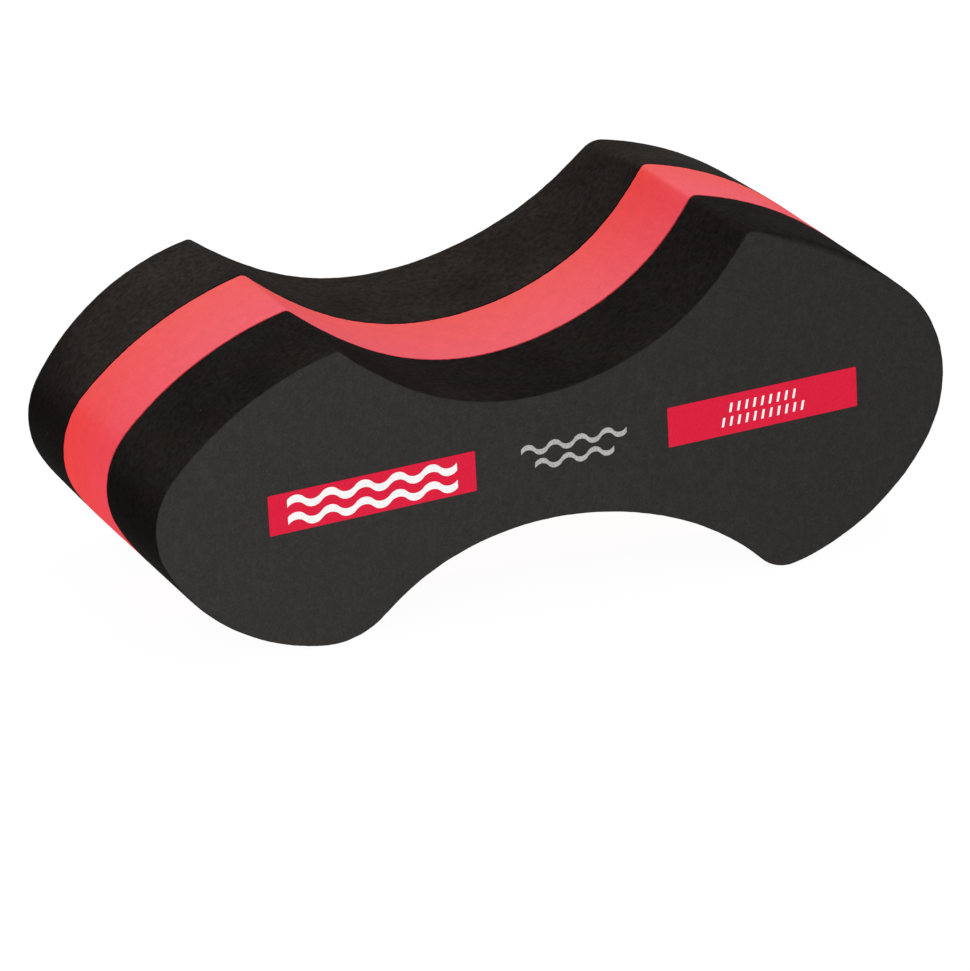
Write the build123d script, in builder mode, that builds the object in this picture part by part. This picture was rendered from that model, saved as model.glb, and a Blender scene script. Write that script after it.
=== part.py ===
from build123d import *
import math
import os

os.makedirs("parts", exist_ok=True)

# Pull buoy: three foam slabs glued face to face, with flat ink prints on the front face.
# Frame: X along the buoy, large lobe towards +X. Y through the thickness, printed face
# towards -Y. Z up. The origin is under the middle, on the surface the buoy stands on.
# All dimensions are in millimetres.

outer_slab = 42.0          # thickness of the front and rear slabs
centre_slab = 37.0         # thickness of the coloured middle slab
glue = 0.2                 # thickness of each adhesive film
ink = 0.1                  # thickness of one printed layer
edge_round = 0.8           # softened rim of the two outer faces

# Profile corners as (X, Z) before rounding, with the radius that rounds each one.
right_nose = (146.67, 68.6)
right_foot = (79.88, -1.23)
left_foot = (-68.22, 0.31)
right_nose_radius = 43.5
right_foot_radius = 13.1
left_foot_radius = 27.6
left_nose_radius = 27.5

# The blade drifts as it cuts, so the rest of the profile changes a little from each face or
# seam to the next. These lists run from the front face through both seams to the rear face.
left_ridge = [(-77.75, 101.5), (-77.5, 101.3), (-77.35, 101.2), (-79.0, 100.35)]
right_ridge = [(68.4, 120.4), (68.3, 119.6), (68.25, 118.7), (69.1, 114.0)]
left_nose = [(-145.35, 52.9), (-145.3, 53.8), (-146.35, 53.2), (-140.15, 46.0)]
left_ridge_radius = [3.2, 2.6, 2.6, 3.0]
right_ridge_radius = [3.4, 3.0, 3.0, 9.0]

# The thigh saddles are curves between ridges, pulled towards these control points.
upper_saddle = [
    [(-33.9, 66.5), (-7.75, 66.3), (41.6, 80.35), (54.5, 99.15)],
    [(-32.45, 66.75), (-7.9, 66.6), (42.75, 80.3), (54.2, 98.2)],
    [(-32.75, 66.65), (-7.9, 66.95), (43.75, 79.15), (53.35, 96.8)],
    [(-35.1, 69.55), (-10.2, 71.4), (40.05, 84.15), (52.75, 100.1)],
]
lower_saddle = [(54.4, 30.25), (-23.05, 51.85)]

# Bulge of the convex sides: height of each arc above its chord.
right_shoulder_bulge = [9.15, 9.2, 9.2, 8.9]
right_hip_bulge = 16.25
left_hip_bulge = [17.4, 17.7, 16.4, 15.2]
left_shoulder_bulge = [7.7, 7.7, 7.7, 10.7]

# Prints lie on one strip that rises towards the large lobe.
print_tilt = 3.1           # degrees
panel_height = 14.0
left_panel_length = 73.2
right_panel_length = 69.3
strip_centre = (4.42, 54.21)
left_panel_shift = -70.4   # panel centres along the strip
right_panel_shift = 70.2
mark_shift = 1.6
panel_corner = 0.4

# Ribbons and ticks printed in white and silver: height across the strip, then size.
left_ribbons = [(3.0, 60.0, 5), (-3.0, 60.0, 5)]
left_ribbon_crest = 1.3
left_ribbon_stroke = 2.6
mark_ribbons = [(2.8, 38.0, 4), (-2.8, 28.5, 3)]
mark_ribbon_crest = 1.2
mark_ribbon_stroke = 1.8
ticks = [(2.4, 9), (-2.4, 11)]
tick_pitch = 2.9
tick_width = 1.5
tick_height = 3.2
tick_angle = 78.0          # degrees between a tick's side and its foot

foam_depth = 2 * outer_slab + centre_slab + 2 * glue
total_depth = foam_depth + 2 * ink
front_face = total_depth / 2 - 2 * ink     # distance of each face in front of the origin
front_seam = front_face - outer_slab
rear_seam = front_seam - centre_slab - 2 * glue
rear_face = rear_seam - outer_slab


def outline(section, distance):
    """Closed buoy outline of a face or seam, at a distance in front of the origin."""
    ridges = (left_ridge[section], right_ridge[section])
    nose = left_nose[section]
    corners = [ridges[0], ridges[1], right_nose, right_foot, left_foot, nose]
    radii = [
        left_ridge_radius[section],
        right_ridge_radius[section],
        right_nose_radius,
        right_foot_radius,
        left_foot_radius,
        left_nose_radius,
    ]
    with BuildSketch(Plane.XZ.offset(distance)) as profile:
        with BuildLine():
            Bezier(ridges[0], *upper_saddle[section], ridges[1])
            SagittaArc(ridges[1], right_nose, right_shoulder_bulge[section])
            SagittaArc(right_nose, right_foot, right_hip_bulge)
            Bezier(right_foot, *lower_saddle, left_foot)
            SagittaArc(left_foot, nose, left_hip_bulge[section])
            SagittaArc(nose, ridges[0], left_shoulder_bulge[section])
        make_face()
        for corner, radius in zip(corners, radii):
            fillet(profile.vertices().sort_by_distance(corner)[0], radius)
    return profile.sketch


def finish_node(builder, name):
    """Label a finished piece and write it as a STEP file."""
    builder.part.label = name
    export_step(builder.part, f"parts/{name}.step")


def glue_film(profile):
    """One adhesive film, cut flush with the foam."""
    with BuildPart() as film:
        extrude(profile, amount=glue)
    return film


def print_plane(along, layer):
    """Plane of a printed layer, centred at a distance along the tilted strip."""
    tilt = math.radians(print_tilt)
    centre_x = strip_centre[0] + along * math.cos(tilt)
    centre_z = strip_centre[1] + along * math.sin(tilt)
    return Plane(
        origin=(centre_x, -front_face - layer * ink, centre_z),
        x_dir=(math.cos(tilt), 0, math.sin(tilt)),
        z_dir=(0, -1, 0),
    )


def print_panel(along, length):
    """Plain rectangular panel of ink on the foam."""
    with BuildPart() as panel:
        with BuildSketch(print_plane(along, 0)):
            RectangleRounded(length, panel_height, panel_corner)
        extrude(amount=ink)
    return panel


def wave_rows(plane, rows, crest, stroke):
    """Rows of wavy ribbon. Each row is its height, its length and its number of waves."""
    with BuildPart() as ribbons:
        for height, length, waves in rows:
            half_wave = length / (2 * waves)
            stops = [half_wave * i - length / 2 for i in range(2 * waves + 1)]
            top = height + stroke / 2
            bottom = height - stroke / 2
            with BuildSketch(plane):
                with BuildLine():
                    for i, (start, end) in enumerate(zip(stops, stops[1:])):
                        rise = crest if i % 2 == 0 else -crest
                        SagittaArc((start, top), (end, top), rise)
                        SagittaArc((start, bottom), (end, bottom), rise)
                    Line((stops[0], top), (stops[0], bottom))
                    Line((stops[-1], top), (stops[-1], bottom))
                make_face()
            extrude(amount=ink)
    return ribbons


def tick_rows(plane, rows):
    """Rows of short slanted ticks. Each row is its height and its number of ticks."""
    with BuildPart() as marks:
        with BuildSketch(plane):
            for height, count in rows:
                with Locations((0, height)):
                    with GridLocations(tick_pitch, 1, count, 1):
                        Trapezoid(tick_width, tick_height, tick_angle, 180 - tick_angle)
        extrude(amount=ink)
    return marks


# Foam slabs

with BuildPart() as front_foam_slab:
    loft([outline(0, front_face), outline(1, front_seam)], ruled=True)
    fillet(front_foam_slab.faces().sort_by(Axis.Y)[0].edges(), edge_round)
finish_node(front_foam_slab, "front_foam_slab")

with BuildPart() as centre_foam_slab:
    loft([outline(1, front_seam - glue), outline(2, rear_seam + glue)], ruled=True)
finish_node(centre_foam_slab, "centre_foam_slab")

with BuildPart() as rear_foam_slab:
    loft([outline(2, rear_seam), outline(3, rear_face)], ruled=True)
    fillet(rear_foam_slab.faces().sort_by(Axis.Y)[-1].edges(), edge_round)
finish_node(rear_foam_slab, "rear_foam_slab")

# Adhesive films

front_bond_film = glue_film(outline(1, front_seam - glue))
finish_node(front_bond_film, "front_bond_film")

rear_bond_film = glue_film(outline(2, rear_seam))
finish_node(rear_bond_film, "rear_bond_film")

# Prints

left_print_panel = print_panel(left_panel_shift, left_panel_length)
finish_node(left_print_panel, "left_print_panel")

right_print_panel = print_panel(right_panel_shift, right_panel_length)
finish_node(right_print_panel, "right_print_panel")

left_panel_waves = wave_rows(
    print_plane(left_panel_shift, 1), left_ribbons, left_ribbon_crest, left_ribbon_stroke
)
finish_node(left_panel_waves, "left_panel_waves")

right_panel_ticks = tick_rows(print_plane(right_panel_shift, 1), ticks)
finish_node(right_panel_ticks, "right_panel_ticks")

centre_wave_mark = wave_rows(
    print_plane(mark_shift, 0), mark_ribbons, mark_ribbon_crest, mark_ribbon_stroke
)
finish_node(centre_wave_mark, "centre_wave_mark")
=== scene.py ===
import math

import bmesh
import bpy
import numpy as np
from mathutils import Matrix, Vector, noise
from mathutils.geometry import delaunay_2d_cdt


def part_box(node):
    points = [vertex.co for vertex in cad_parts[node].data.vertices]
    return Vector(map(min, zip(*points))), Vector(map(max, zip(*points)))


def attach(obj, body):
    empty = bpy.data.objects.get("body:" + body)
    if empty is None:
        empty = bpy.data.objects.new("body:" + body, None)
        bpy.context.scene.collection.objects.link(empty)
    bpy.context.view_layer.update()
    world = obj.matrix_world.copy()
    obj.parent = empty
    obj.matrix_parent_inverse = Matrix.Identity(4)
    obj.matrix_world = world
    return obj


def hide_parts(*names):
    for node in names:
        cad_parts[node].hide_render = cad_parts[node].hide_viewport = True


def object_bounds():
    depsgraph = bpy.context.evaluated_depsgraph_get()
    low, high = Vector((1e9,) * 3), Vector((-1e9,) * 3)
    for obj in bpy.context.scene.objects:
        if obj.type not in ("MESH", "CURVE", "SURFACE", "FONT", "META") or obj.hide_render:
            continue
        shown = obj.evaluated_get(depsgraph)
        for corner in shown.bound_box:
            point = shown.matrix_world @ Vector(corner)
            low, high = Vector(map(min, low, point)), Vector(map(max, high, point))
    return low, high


# Looks of the foam pull buoy: each foam slab and adhesive film is a detailed mesh built on
# the outline of its CAD node, and the thin prints keep their CAD nodes with ink materials.
# Meshes are worked out in millimetres and written in metres.

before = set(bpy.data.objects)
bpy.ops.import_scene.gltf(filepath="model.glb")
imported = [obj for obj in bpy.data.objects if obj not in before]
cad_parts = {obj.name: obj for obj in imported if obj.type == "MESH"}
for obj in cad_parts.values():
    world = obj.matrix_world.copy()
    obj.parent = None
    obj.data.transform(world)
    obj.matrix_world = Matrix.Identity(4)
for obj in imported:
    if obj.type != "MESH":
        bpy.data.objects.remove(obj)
cad_low, cad_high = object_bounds()

MM = 0.001
LENGTH = cad_high.x - cad_low.x

# Camera: the viewing angle round the object, in degrees, and a long lens.
VIEW_AZIMUTH = -24.6
VIEW_ELEVATION = 21.5
LENS_MM = 296.6
CAMERA_DISTANCE = 9.371 * LENGTH
AIM_RIGHT = 0.00572 * LENGTH
AIM_UP = -0.12892 * LENGTH

FLOOR_DROP = 0.2           # the floor below the CAD box, in millimetres

# Mesh density of the foam, in millimetres.
STATION_STEP = 0.75
ROW_STEP = 0.8
CAP_STEP = 2.2
RIM_STEPS = 5
CURVE_STEPS = 24           # points worked out along each span between two CAD vertices

# Closeness at which vertices of a CAD node are one point or lie on one flat face, in metres.
CLOSE = 1e-6

# Edges of the foam, in millimetres.
CAD_RIM = 0.8              # rounding of the outer faces in the CAD nodes
OUTER_RIM = 0.55           # rounding of the outer faces where the blade left them crisp
SOFT_RIM = 2.6             # rounding on the large lobe's shoulder
SEAM_RIM = 0.22            # rounding beside each adhesive film
SEAM_RAG = 0.42            # how far a seam edge wanders from the film
RIM_RAG = 0.25             # how far the rim of an outer face wanders
FILM_INSET = 0.5           # adhesive below the foam surface
FILM_BULGE = 0.06          # bulge of the adhesive's edge at its middle
SKIN_FADE = 2.6            # width over which the skin colour fades into the darker cut colour on the soft shoulder, as painted shade

# Unevenness of the cut surface, in millimetres: depth and length.
SWELL = (0.18, 34.0)
CHATTER = (0.05, 2.6)
GRAIN = (0.05, 1.3)
CHATTER_RUN = 30           # how many times longer chatter marks are through the thickness

# Soft part of the front rim: where it starts, is full and ends, as shares of the buoy's size.
SHOULDER_ALONG = (0.5, 0.6, 0.72, 0.88)
SHOULDER_UP = (0.44, 0.66, 1.2, 1.5)

# Points that match on outlines of different slabs: side of the buoy, outward direction in degrees.
LANDMARKS = [(1, 0), (1, 105), (-1, 95), (-1, 180), (-1, -80), (1, -95)]


# Outlines

def cap_ring(node_name, side):
    """Outline, in millimetres, of a node's flat face at its lowest (-1) or highest (+1) Y."""
    mesh = bmesh.new()
    mesh.from_mesh(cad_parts[node_name].data)
    bmesh.ops.remove_doubles(mesh, verts=mesh.verts, dist=CLOSE)
    level = side * max(side * v.co.y for v in mesh.verts)
    flat = {f for f in mesh.faces if all(abs(v.co.y - level) < CLOSE for v in f.verts)}
    rim = [e for e in mesh.edges if len(flat.intersection(e.link_faces)) == 1]
    beside = {}
    for edge in rim:
        for vertex in edge.verts:
            beside.setdefault(vertex, []).append(edge.other_vert(vertex))
    loop = [max(beside, key=lambda v: v.co.x)]
    loop.append(beside[loop[0]][0])
    while True:
        following = [v for v in beside[loop[-1]] if v != loop[-2]][0]
        if following == loop[0]:
            break
        loop.append(following)
    ring = np.array([(v.co.x, v.co.z) for v in loop]) / MM
    mesh.free()
    ahead = np.roll(ring, -1, axis=0)
    area = np.sum(ring[:, 0] * ahead[:, 1] - ahead[:, 0] * ring[:, 1])
    return ring if area > 0 else ring[::-1]


def outward(curve):
    """Outward unit normals of a closed anticlockwise curve."""
    along = np.roll(curve, -1, axis=0) - np.roll(curve, 1, axis=0)
    along /= np.linalg.norm(along, axis=1)[:, None]
    return np.stack([along[:, 1], -along[:, 0]], axis=1)


def smooth_curve(ring):
    """A fine, smooth closed curve through the vertices of a ring."""
    ahead = np.roll(ring, -1, axis=0)
    tangent = ahead - np.roll(ring, 1, axis=0)
    tangent /= np.linalg.norm(tangent, axis=1)[:, None]
    span = np.linalg.norm(ahead - ring, axis=1)[:, None]
    leaving = tangent * span
    arriving = np.roll(tangent, -1, axis=0) * span
    curve = []
    for step in range(CURVE_STEPS):
        t = step / CURVE_STEPS
        curve.append(
            (2 * t**3 - 3 * t**2 + 1) * ring
            + (t**3 - 2 * t**2 + t) * leaving
            + (3 * t**2 - 2 * t**3) * ahead
            + (t**3 - t**2) * arriving
        )
    return np.stack(curve, axis=1).reshape(-1, 2)


def distances(curve):
    """Distance along a closed curve at each of its points and back at the first."""
    steps = np.linalg.norm(np.roll(curve, -1, axis=0) - curve, axis=1)
    return np.concatenate([[0], np.cumsum(steps)])


def points_along(curve, where):
    """Points of a closed curve at given distances along it."""
    along = distances(curve)
    closed = np.vstack([curve, curve[:1]])
    where = np.mod(where, along[-1])
    return np.stack([np.interp(where, along, closed[:, i]) for i in (0, 1)], axis=1)


def landmarks(curve):
    """Distances along a curve of its landmarks, in order, with the first repeated at the end."""
    along = distances(curve)
    found = []
    for side, angle in LANDMARKS:
        direction = np.array([math.cos(math.radians(angle)), math.sin(math.radians(angle))])
        reach = np.where(side * curve[:, 0] > 0, curve @ direction, -np.inf)
        found.append(along[np.argmax(reach)])
    total = along[-1]
    unrolled = [found[0] - total if found[0] > found[1] else found[0]]
    unrolled.extend(found[1:])
    unrolled.append(unrolled[0] + total)
    return np.array(unrolled)


def matched(curve):
    """Points of another outline that match the stations of the front seam."""
    marks = landmarks(front_seam_curve)
    where = np.interp(np.mod(stations - marks[0], girth) + marks[0], marks, landmarks(curve))
    return points_along(curve, where)


def face_line(node_name, side):
    """Outline of a slab's outer face, out to the wall beside the rounded rim of the CAD node."""
    line = smooth_curve(cap_ring(node_name, side))
    return line + CAD_RIM * outward(line)


front_seam_curve = smooth_curve(cap_ring("front_foam_slab", 1))
girth = distances(front_seam_curve)[-1]
station_count = round(girth / STATION_STEP)
stations = np.arange(station_count) * girth / station_count
front_seam = points_along(front_seam_curve, stations)
front_face = matched(face_line("front_foam_slab", -1))
rear_seam = matched(smooth_curve(cap_ring("rear_foam_slab", -1)))
rear_face = matched(face_line("rear_foam_slab", 1))


# Foam meshes

def ripple(x, y, z, size):
    """Smooth noise from -1 to 1 whose bumps are about size millimetres long."""
    return noise.noise(Vector((x, y, z)) / size)


def station_ripple(size, seed):
    """Noise along the outline, one value from -1 to 1 for each station."""
    return np.array([ripple(x, seed, z, size) for x, z in front_seam])


def bump_shape(x, start, rise, fall, end):
    """Smooth weight along an axis: none outside start to end, full from rise to fall."""
    up = np.clip((x - start) / (rise - start), 0, 1)
    down = np.clip((end - x) / (end - fall), 0, 1)
    weight = np.minimum(up, down)
    return weight * weight * (3 - 2 * weight)


def soft_shoulder():
    """How soft the front rim is at each station: only the large lobe's shoulder is."""
    x, z = front_seam[:, 0], front_seam[:, 1]
    right, top = cad_high.x / MM, cad_high.z / MM
    along = bump_shape(x, *(share * right for share in SHOULDER_ALONG))
    above = bump_shape(z, *(share * top for share in SHOULDER_UP))
    facing_out = outward(front_seam)[:, 1] > 0.2
    return along * above * np.where(facing_out, 1, 0)


def edge_rows(y_low, y_high, rim_low, rim_high):
    """Depth and inset of every row of a slab's wall, from the low face round to the high face."""
    turns = [0.5 * math.pi * k / RIM_STEPS for k in range(RIM_STEPS + 1)]
    depths = [y_low + rim_low * (1 - math.cos(a)) for a in turns]
    insets = [rim_low * (1 - math.sin(a)) for a in turns]
    wall_low, wall_high = y_low + rim_low, y_high - rim_high
    wall_steps = round(float(np.mean(wall_high - wall_low)) / ROW_STEP)
    for k in range(1, wall_steps):
        depths.append(wall_low + (wall_high - wall_low) * k / wall_steps)
        insets.append(0 * rim_low)
    depths.extend(y_high - rim_high * (1 - math.cos(a)) for a in reversed(turns))
    insets.extend(rim_high * (1 - math.sin(a)) for a in reversed(turns))
    return np.array(depths), np.array(insets)


def cut_unevenness(points, depths):
    """Inward depth of the swell, chatter and grain that the blade left, at each wall point."""
    uneven = np.zeros(depths.shape)
    for i in range(depths.shape[1]):
        for row in range(depths.shape[0]):
            x, z = points[row, i]
            y = depths[row, i]
            swell = SWELL[0] * ripple(x, y, z, SWELL[1])
            chatter = CHATTER[0] * ripple(x, y / CHATTER_RUN, z, CHATTER[1])
            grain = GRAIN[0] * ripple(x, y, z, GRAIN[1])
            uneven[row, i] = swell + chatter + grain
    return uneven


def grid_inside(boundary, step):
    """A staggered grid of points inside a closed outline, clear of its rim."""
    low, high = boundary.min(axis=0), boundary.max(axis=0)
    row_gap = step * math.sqrt(3) / 2
    grid = []
    for row in range(int((high[1] - low[1]) / row_gap) + 1):
        shift = 0.5 * step * (row % 2)
        for column in range(int((high[0] - low[0]) / step) + 1):
            grid.append((low[0] + shift + column * step, low[1] + row * row_gap))
    grid = np.array(grid)
    ahead = np.roll(boundary, -1, axis=0)
    crossings = np.zeros(len(grid), int)
    gap = np.full(len(grid), np.inf)
    for (x1, z1), (x2, z2) in zip(boundary, ahead):
        gap = np.minimum(gap, np.hypot(grid[:, 0] - x1, grid[:, 1] - z1))
        if z1 != z2:
            spans = (z1 > grid[:, 1]) != (z2 > grid[:, 1])
            reach = x1 + (grid[:, 1] - z1) * (x2 - x1) / (z2 - z1)
            crossings += spans & (grid[:, 0] < reach)
    return grid[(crossings % 2 == 1) & (gap > 0.7 * step)]


def cap_triangles(boundary, inner):
    """Triangles over a closed outline and the points inside it."""
    count = len(boundary)
    corners = [Vector(p) for p in np.vstack([boundary, inner])]
    rim = [(i, (i + 1) % count) for i in range(count)]
    made = delaunay_2d_cdt(corners, rim, [], 1, 1e-5)
    origin = [sources[0] for sources in made[3]]
    return [[origin[i] for i in face] for face in made[2]]


def slab_mesh(name, rings, depths, caps):
    """A closed mesh from rows of outline points and the depth of each. Caps give inner Y."""
    rows, count = depths.shape
    vertices = np.stack([rings[:, :, 0], depths, rings[:, :, 1]], axis=2).reshape(-1, 3)
    faces = []
    for row in range(rows - 1):
        for i in range(count):
            j = (i + 1) % count
            low, high = row * count, (row + 1) * count
            faces.append((low + i, high + i, high + j, low + j))
    for row, depth, turn in ((0, caps[0], 1), (rows - 1, caps[1], -1)):
        boundary = rings[row]
        inner = grid_inside(boundary, CAP_STEP)
        level = np.full((len(inner), 1), depth)
        start = len(vertices)
        vertices = np.vstack([vertices, np.hstack([inner[:, :1], level, inner[:, 1:]])])
        places = list(range(row * count, (row + 1) * count))
        places.extend(range(start, start + len(inner)))
        for triangle in cap_triangles(boundary, inner):
            faces.append(tuple(places[i] for i in triangle)[::turn])
    mesh = bpy.data.meshes.new(name)
    mesh.from_pydata((vertices * MM).tolist(), [], faces)
    mesh.validate()
    mesh.shade_smooth()
    piece = bpy.data.objects.new(name, mesh)
    bpy.context.scene.collection.objects.link(piece)
    return piece


def foam_slab(name, outlines, y_low, y_high, rim_low, rim_high, rag_low, rag_high):
    """A foam slab between two outlines. Rims and rags are millimetres at each station."""
    low_edge = y_low + rag_low
    high_edge = y_high - rag_high
    depths, insets = edge_rows(low_edge, high_edge, rim_low, rim_high)
    share = ((depths - y_low) / (y_high - y_low))[:, :, None]
    rings = outlines[0] * (1 - share) + outlines[1] * share
    normals = outward(outlines[0]) * (1 - share) + outward(outlines[1]) * share
    insets = insets + cut_unevenness(rings, depths)
    rings = rings - normals * insets[:, :, None]
    return slab_mesh(name, rings, depths, (y_low, y_high))


def skin_attribute(piece, side, fade):
    """Vertex weight of the moulded skin: full on one face, none on the cut wall."""
    mesh = piece.data
    points = np.empty(len(mesh.vertices) * 3)
    mesh.vertices.foreach_get("co", points)
    points = points.reshape(-1, 3) / MM
    level = side * np.max(side * points[:, 1])
    below = np.abs(points[:, 1] - level)
    skin = np.clip(1 - below / (0.6 * OUTER_RIM), 0, 1)
    # Painted shade: on the soft shoulder the skin weight fades out towards the wall, so the darker
    # cut colour shows there.
    if fade is not None:
        for i in np.nonzero(below < SOFT_RIM)[0]:
            gaps = np.hypot(*(front_face - points[i, (0, 2)]).T)
            nearest = np.argmin(gaps)
            if fade[nearest] > 0.01:
                clear_of_shade = np.clip(gaps[nearest] / (SKIN_FADE * fade[nearest]), 0, 1)
                soft = clear_of_shade * clear_of_shade * (3 - 2 * clear_of_shade)
                skin[i] = soft * fade[nearest] + skin[i] * (1 - fade[nearest])
    attribute = mesh.attributes.new("skin", "FLOAT", "POINT")
    attribute.data.foreach_set("value", skin.astype(np.float32))


def film_mesh(name, outline, y_low, y_high, seed):
    """An adhesive film whose edge wanders a little below the foam surface."""
    inset = FILM_INSET * (1 + 0.5 * station_ripple(3.0, seed))
    depths = np.array([np.full(len(outline), y) for y in np.linspace(y_low, y_high, 3)])
    insets = inset[None, :] + FILM_BULGE * np.array([1.0, 0.0, 1.0])[:, None]
    rings = outline[None] - outward(outline)[None] * insets[:, :, None]
    return slab_mesh(name, rings, depths, (y_low, y_high))


# Materials

# Places of the colour sockets on a mix node.
MIX_FIRST, MIX_SECOND, MIX_RESULT = 6, 7, 2


def linear(red, green, blue):
    """Shader colour from red, green and blue of 0 to 255."""
    values = [c / 255 for c in (red, green, blue)]
    return tuple(c / 12.92 if c < 0.04045 else ((c + 0.055) / 1.055) ** 2.4 for c in values) + (1,)


def add_node(tree, kind, inputs, **settings):
    """A shader node with its settings, and its inputs set to values or linked to sockets."""
    made = tree.nodes.new(kind)
    for key, value in settings.items():
        setattr(made, key, value)
    for key, value in inputs.items():
        if isinstance(value, bpy.types.NodeSocket):
            tree.links.new(value, made.inputs[key])
        else:
            made.inputs[key].default_value = value
    return made


def start_material(name):
    """A new node material: its tree, its shader and the object position."""
    material = bpy.data.materials.new(name)
    material.use_nodes = True
    tree = material.node_tree
    shader = tree.nodes["Principled BSDF"]
    position = add_node(tree, "ShaderNodeTexCoord", {}).outputs["Object"]
    return material, tree, shader, position


def mottle(tree, position, size, detail=3.0, roughness=0.55):
    """Noise from 0 to 1 with patches about size millimetres across."""
    return add_node(
        tree, "ShaderNodeTexNoise",
        {"Vector": position, "Scale": 1 / (size * MM), "Detail": detail, "Roughness": roughness},
    ).outputs["Fac"]


def stretched(tree, position, scale):
    """The position stretched along its axes."""
    return add_node(
        tree, "ShaderNodeVectorMath", {0: position, 1: scale}, operation="MULTIPLY"
    ).outputs["Vector"]


def ramp(tree, factor, stops):
    """A colour ramp through (place, colour) stops."""
    made = add_node(tree, "ShaderNodeValToRGB", {"Fac": factor})
    band = made.color_ramp
    while len(band.elements) < len(stops):
        band.elements.new(0.5)
    for element, (place, colour) in zip(band.elements, stops):
        element.position = place
        element.color = colour
    return made.outputs["Color"]


def grade(tree, factor, low, high, out_low=0.0, out_high=1.0, shape="LINEAR"):
    """A factor mapped from one range to another and held there."""
    return add_node(
        tree, "ShaderNodeMapRange",
        {"Value": factor, "From Min": low, "From Max": high, "To Min": out_low, "To Max": out_high},
        interpolation_type=shape,
    ).outputs["Result"]


def blend(tree, factor, first, second, how="MIX"):
    """Two colours mixed by a factor."""
    made = add_node(
        tree, "ShaderNodeMix", {"Factor": factor, MIX_FIRST: first, MIX_SECOND: second},
        data_type="RGBA", blend_type=how,
    )
    return made.outputs[MIX_RESULT]


def combined(tree, first, second, operation="MULTIPLY"):
    """Two numbers multiplied, or joined by another operation."""
    return add_node(tree, "ShaderNodeMath", {0: first, 1: second}, operation=operation).outputs[0]


def specks(tree, position, gap, radius, share):
    """Small round specks: 1 inside a speck, for a share of cells about gap millimetres apart."""
    cells = add_node(
        tree, "ShaderNodeTexVoronoi", {"Vector": position, "Scale": 1 / (gap * MM), "Randomness": 1}
    )
    inside = grade(tree, cells.outputs["Distance"], radius / gap, 0.5 * radius / gap)
    chance = add_node(
        tree, "ShaderNodeSeparateColor", {"Color": cells.outputs["Color"]}
    ).outputs[0]
    chosen = combined(tree, chance, share, "LESS_THAN")
    return combined(tree, inside, chosen)


def set_bump(tree, shader, height, strength, distance):
    """Bump on a shader from a height factor, with a distance in millimetres."""
    made = add_node(
        tree, "ShaderNodeBump",
        {"Height": height, "Strength": strength, "Distance": distance * MM},
    )
    tree.links.new(made.outputs["Normal"], shader.inputs["Normal"])


def upward(tree, low, high):
    """How far the surface faces up: 0 to 1 as the normal's rise goes from low to high."""
    normal = add_node(tree, "ShaderNodeTexCoord", {}).outputs["Normal"]
    rise = add_node(tree, "ShaderNodeSeparateXYZ", {"Vector": normal}).outputs["Z"]
    return grade(tree, rise, low, high, shape="SMOOTHSTEP")


def scaled(tree, colour, factor):
    """A colour made lighter or darker by a factor."""
    return add_node(
        tree, "ShaderNodeVectorMath", {0: colour, "Scale": factor}, operation="SCALE"
    ).outputs["Vector"]


def slope_shade(tree):
    """1 on most slopes, and less on the steep ones that face the large lobe, which get painted
    shade and are darker.
    """
    normal = add_node(tree, "ShaderNodeTexCoord", {}).outputs["Normal"]
    lean = add_node(tree, "ShaderNodeSeparateXYZ", {"Vector": normal}).outputs["X"]
    return grade(tree, lean, 0.3, 0.65, 1.0, 0.6)


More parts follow.
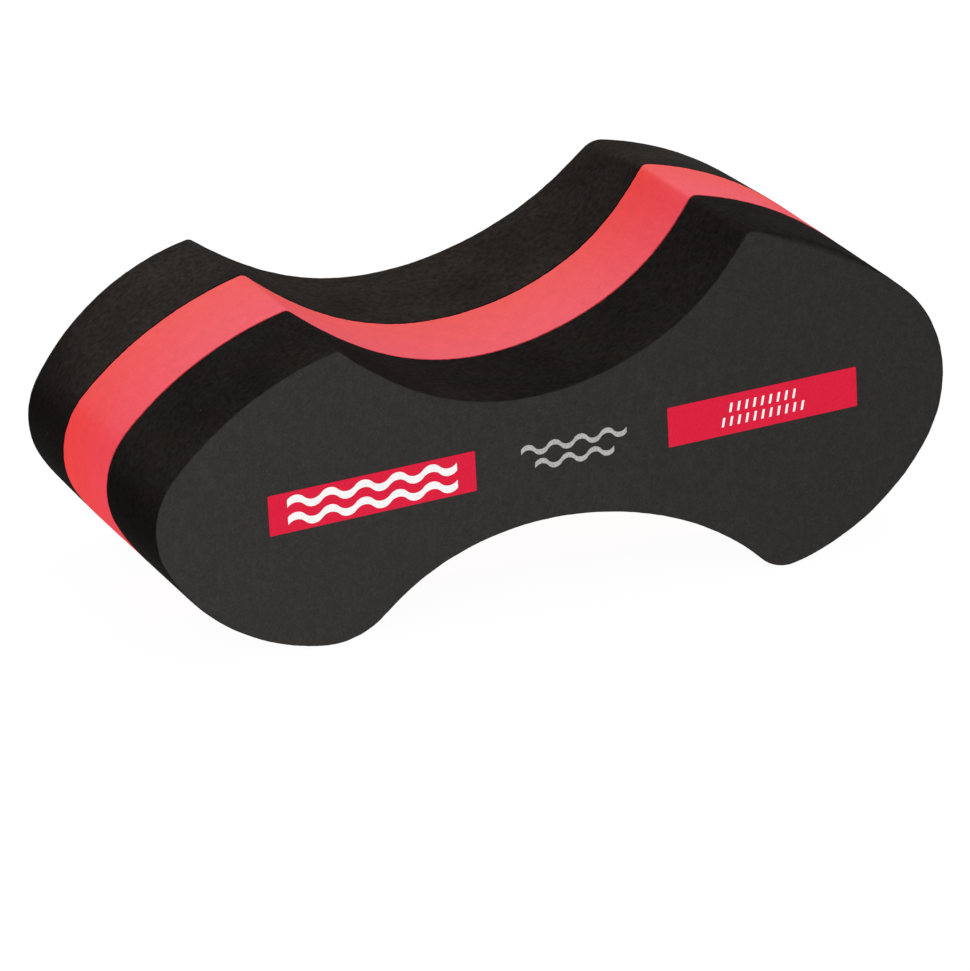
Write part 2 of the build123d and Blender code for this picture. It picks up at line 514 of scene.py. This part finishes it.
def black_foam(name, side, top, rise):
    """Black foam: grainy where cut, lighter where it faces up as painted light, darker on steep
    slopes facing the large lobe and on the face towards the large lobe as painted shade, and greyer
    on its moulded skin.
    """
    material, tree, shader, position = start_material(name)
    cells = mottle(tree, position, 1.9, 4.0, 0.66)
    clumps = mottle(tree, position, 6.0, 3.0)
    drift = mottle(tree, position, 30.0, 1.0)
    # Painted light: surfaces that face up get the lighter top tone; slope_shade then paints shade
    # on steep slopes.
    tone = scaled(tree, blend(tree, upward(tree, *rise), side, top), slope_shade(tree))
    brown = scaled(tree, blend(tree, 1.0, tone, linear(255, 232, 220), "MULTIPLY"), 1.1)
    tone = blend(tree, grade(tree, clumps, 0.42, 0.66, 0.0, 0.6), tone, brown)
    tone = scaled(tree, tone, grade(tree, drift, 0.3, 0.7, 0.8, 1.2))
    cut = scaled(tree, tone, grade(tree, cells, 0.32, 0.72, 0.6, 1.45))
    dust = specks(tree, position, 7.5, 0.36, 0.45)
    cut = blend(tree, combined(tree, dust, 0.45), cut, linear(86, 82, 78))

    fine = mottle(tree, position, 0.7, 2.0)
    cloud = mottle(tree, position, 3.0, 3.0)
    streak = mottle(tree, stretched(tree, position, (1.0, 1.0, 0.2)), 2.4, 2.0)
    along = add_node(tree, "ShaderNodeSeparateXYZ", {"Vector": position}).outputs["X"]
    face = ramp(tree, fine, [(0.3, linear(46, 44, 42)), (0.7, linear(56, 54, 52))])
    face = blend(tree, grade(tree, cloud, 0.38, 0.68, 0.0, 0.55), face, linear(45, 43, 41))
    face = blend(tree, grade(tree, streak, 0.55, 0.8, 0.0, 0.4), face, linear(60, 57, 54))
    # Painted shade: the face darkens steadily from the small lobe towards the large lobe.
    face = scaled(tree, face, grade(tree, along, cad_low.x, cad_high.x, 1.13, 0.87))
    scuffs = specks(tree, position, 9.0, 0.3, 0.35)
    face = blend(tree, combined(tree, scuffs, 0.35), face, linear(92, 88, 84))

    skin = add_node(tree, "ShaderNodeAttribute", {}, attribute_name="skin").outputs["Fac"]
    tree.links.new(blend(tree, skin, cut, face), shader.inputs["Base Color"])
    tree.links.new(grade(tree, skin, 0, 1, 0.95, 0.7), shader.inputs["Roughness"])
    shader.inputs["Specular IOR Level"].default_value = 0.015
    rough = combined(tree, cells, grade(tree, skin, 0, 1, 1.0, 0.3))
    set_bump(tree, shader, rough, 0.7, 0.25)
    return material


def coral_foam():
    """Coral foam of the middle slab: redder at its rear side and pinker at its front side, and
    paler where it faces up as painted light.
    """
    material, tree, shader, position = start_material("coral_foam")
    low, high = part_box("centre_foam_slab")
    depth = add_node(tree, "ShaderNodeSeparateXYZ", {"Vector": position}).outputs["Y"]
    wander = 12 * MM
    shift = combined(tree, mottle(tree, position, 22.0, 2.0), wander)
    depth = combined(tree, depth, shift, "ADD")
    across = grade(tree, depth, high.y + 0.5 * wander, low.y + 0.5 * wander)
    side = ramp(tree, across, [(0.0, linear(239, 70, 67)), (1.0, linear(237, 74, 86))])
    top = ramp(tree, across, [(0.0, linear(238, 98, 96)), (1.0, linear(237, 102, 113))])
    # Painted light: surfaces that face up get the paler top colour.
    colour = blend(tree, upward(tree, 0.42, 1.0), side, top)
    clumps = mottle(tree, position, 6.0, 3.0)
    colour = scaled(tree, colour, grade(tree, clumps, 0.3, 0.75, 0.97, 1.04))
    cells = mottle(tree, position, 0.9, 3.0)
    colour = blend(tree, grade(tree, cells, 0.35, 0.7, 0.16, 0.0), colour, linear(206, 52, 60))
    # Painted shade: small dark specks stand in for the shade inside the foam's pits.
    painted_pit_shade = specks(tree, position, 14.0, 0.6, 0.4)
    colour = blend(tree, combined(tree, painted_pit_shade, 0.5), colour, linear(168, 40, 52))
    tree.links.new(colour, shader.inputs["Base Color"])
    shader.inputs["Roughness"].default_value = 0.95
    shader.inputs["Specular IOR Level"].default_value = 0.02
    set_bump(tree, shader, cells, 0.5, 0.2)
    return material


def adhesive():
    """Dried contact cement: dark amber, slightly glossy and lumpy."""
    material, tree, shader, position = start_material("adhesive")
    lumps = mottle(tree, position, 1.6, 3.0)
    colour = ramp(tree, lumps, [(0.3, linear(14, 9, 7)), (0.75, linear(34, 20, 14))])
    tree.links.new(colour, shader.inputs["Base Color"])
    shader.inputs["Roughness"].default_value = 0.5
    shader.inputs["Specular IOR Level"].default_value = 0.2
    set_bump(tree, shader, lumps, 0.5, 0.1)
    return material


def ink(name, colour, thin, specular):
    """Screen printed ink: one colour, thinner over the foam's low cells."""
    material, tree, shader, position = start_material(name)
    cells = mottle(tree, position, 0.6, 2.0)
    patches = mottle(tree, position, 4.0, 2.0)
    tone = ramp(tree, cells, [(0.3, thin), (0.5, colour)])
    tone = blend(tree, grade(tree, patches, 0.45, 0.75, 0.0, 0.25), tone, thin)
    tree.links.new(tone, shader.inputs["Base Color"])
    shader.inputs["Roughness"].default_value = 0.6
    shader.inputs["Specular IOR Level"].default_value = specular
    set_bump(tree, shader, cells, 0.4, 0.08)
    return material


def paint(piece, material):
    """Give a piece one material."""
    piece.data.materials.clear()
    piece.data.materials.append(material)


def place(piece, node_name, slot_name):
    """A detailed piece stands for its CAD node."""
    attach(piece, "root")
    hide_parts(node_name)


# Foam pieces

def levels(node_name):
    """Lowest and highest Y of a node, in millimetres."""
    low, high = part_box(node_name)
    return low.y / MM, high.y / MM


def rag(seed, size, amount):
    """A ragged edge: how far each station stays back from the seam."""
    return amount * (0.5 + 0.5 * station_ripple(size, seed))


seam_rim = SEAM_RIM * (1 + 0.4 * station_ripple(5.0, 40.0))
shoulder = soft_shoulder()
outer_rim = OUTER_RIM + RIM_RAG * station_ripple(4.0, 70.0) * (1 - shoulder)
front_rim = outer_rim + (SOFT_RIM - OUTER_RIM) * shoulder
no_rag = 0 * seam_rim

front_foam = foam_slab(
    "front_foam", (front_face, front_seam), *levels("front_foam_slab"),
    front_rim, seam_rim, no_rag, rag(11.0, 1.6, SEAM_RAG),
)
centre_foam = foam_slab(
    "centre_foam", (front_seam, rear_seam), *levels("centre_foam_slab"),
    seam_rim, seam_rim, rag(23.0, 1.6, SEAM_RAG), rag(31.0, 1.6, SEAM_RAG),
)
rear_foam = foam_slab(
    "rear_foam", (rear_seam, rear_face), *levels("rear_foam_slab"),
    seam_rim, outer_rim, rag(47.0, 1.6, SEAM_RAG), no_rag,
)
skin_attribute(front_foam, -1, shoulder)
skin_attribute(rear_foam, 1, None)
front_adhesive = film_mesh("front_adhesive", front_seam, *levels("front_bond_film"), 53.0)
rear_adhesive = film_mesh("rear_adhesive", rear_seam, *levels("rear_bond_film"), 61.0)

# Two copies of one black foam: the rear copy's much lighter top tone is painted light on the rear
# slab.
front_black = black_foam("black_foam_front", linear(14, 12, 11), linear(28, 26, 25), (0.05, 0.8))
rear_black = black_foam("black_foam_rear", linear(16, 13, 12), linear(41, 38, 36), (0.25, 0.97))
paint(front_foam, front_black)
paint(rear_foam, rear_black)
paint(centre_foam, coral_foam())
cement = adhesive()
paint(front_adhesive, cement)
paint(rear_adhesive, cement)

place(front_foam, "front_foam_slab", "black_foam")
place(rear_foam, "rear_foam_slab", "black_foam")
place(centre_foam, "centre_foam_slab", "coral_foam")
place(front_adhesive, "front_bond_film", "adhesive")
place(rear_adhesive, "rear_bond_film", "adhesive")

# Prints

red_ink = ink("red_ink", linear(220, 28, 61), linear(206, 22, 52), 0.08)
white_ink = ink("white_ink", linear(250, 249, 248), linear(232, 226, 226), 0.08)
silver_ink = ink("silver_ink", linear(182, 181, 180), linear(140, 139, 138), 0.2)
prints = {
    "left_print_panel": red_ink,
    "right_print_panel": red_ink,
    "left_panel_waves": white_ink,
    "right_panel_ticks": white_ink,
    "centre_wave_mark": silver_ink,
}
for node_name, ink_material in prints.items():
    paint(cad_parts[node_name], ink_material)


# Studio

def stage_material(name, colour, glow):
    """A plain stage material with a little light of its own."""
    material = bpy.data.materials.new(name)
    material.use_nodes = True
    shader = material.node_tree.nodes["Principled BSDF"]
    shader.inputs["Base Color"].default_value = (colour, colour, colour, 1)
    shader.inputs["Roughness"].default_value = 1
    shader.inputs["Specular IOR Level"].default_value = 0
    shader.inputs["Emission Color"].default_value = (1, 1, 1, 1)
    shader.inputs["Emission Strength"].default_value = glow
    return material


def make_floor():
    """A plain pale floor just under the buoy's uneven feet, wide enough to fill the view."""
    bpy.ops.mesh.primitive_plane_add(size=16, location=(0, 0, -FLOOR_DROP * MM))
    floor = bpy.context.object
    floor.name = "floor"
    paint(floor, stage_material("pale_floor", 0.05, 0.97))


def make_backdrop():
    """A white dome behind everything. It is seen, but it neither lights nor shades the buoy."""
    bpy.ops.mesh.primitive_uv_sphere_add(radius=7.5, segments=48, ring_count=24)
    dome = bpy.context.object
    dome.name = "backdrop"
    paint(dome, stage_material("white_backdrop", 0, 1))
    dome.visible_diffuse = False
    dome.visible_glossy = False
    dome.visible_transmission = False
    dome.visible_volume_scatter = False
    dome.visible_shadow = False


def softbox(name, location, size, power):
    """A square softbox aimed at the middle of the buoy."""
    data = bpy.data.lights.new(name, "AREA")
    data.shape = "SQUARE"
    data.size = size
    data.energy = power
    light = bpy.data.objects.new(name, data)
    bpy.context.scene.collection.objects.link(light)
    light.location = location
    aim = (cad_low + cad_high) / 2 - Vector(location)
    light.rotation_mode = "QUATERNION"
    light.rotation_quaternion = aim.to_track_quat("-Z", "Y")


def make_world():
    """Even grey light from all round."""
    world = bpy.data.worlds.new("studio_air")
    world.use_nodes = True
    background = world.node_tree.nodes["Background"]
    background.inputs["Color"].default_value = (1, 1, 1, 1)
    background.inputs["Strength"].default_value = 0.7
    bpy.context.scene.world = world


def make_camera():
    """A camera on the viewing direction, aimed a little below the middle of the buoy."""
    azimuth = math.radians(VIEW_AZIMUTH)
    elevation = math.radians(VIEW_ELEVATION)
    back = Vector((
        math.sin(azimuth) * math.cos(elevation),
        -math.cos(azimuth) * math.cos(elevation),
        math.sin(elevation),
    ))
    right = Vector((math.cos(azimuth), math.sin(azimuth), 0))
    up = back.cross(right)
    aim = (cad_low + cad_high) / 2 + AIM_RIGHT * right + AIM_UP * up
    data = bpy.data.cameras.new("camera")
    data.lens = LENS_MM
    data.clip_end = 100
    camera = bpy.data.objects.new("camera", data)
    bpy.context.scene.collection.objects.link(camera)
    camera.rotation_mode = "QUATERNION"
    camera.location = aim + CAMERA_DISTANCE * back
    camera.rotation_quaternion = (-back).to_track_quat("-Z", "Y")
    bpy.context.scene.camera = camera


make_floor()
make_backdrop()
make_world()
softbox("overhead_softbox", (0.35, 0.3, 1.2), 1.2, 5)
softbox("front_softbox", (-1.2, -1.3, 0.9), 1.2, 10)
make_camera()
bpy.context.scene.view_settings.view_transform = "Standard"
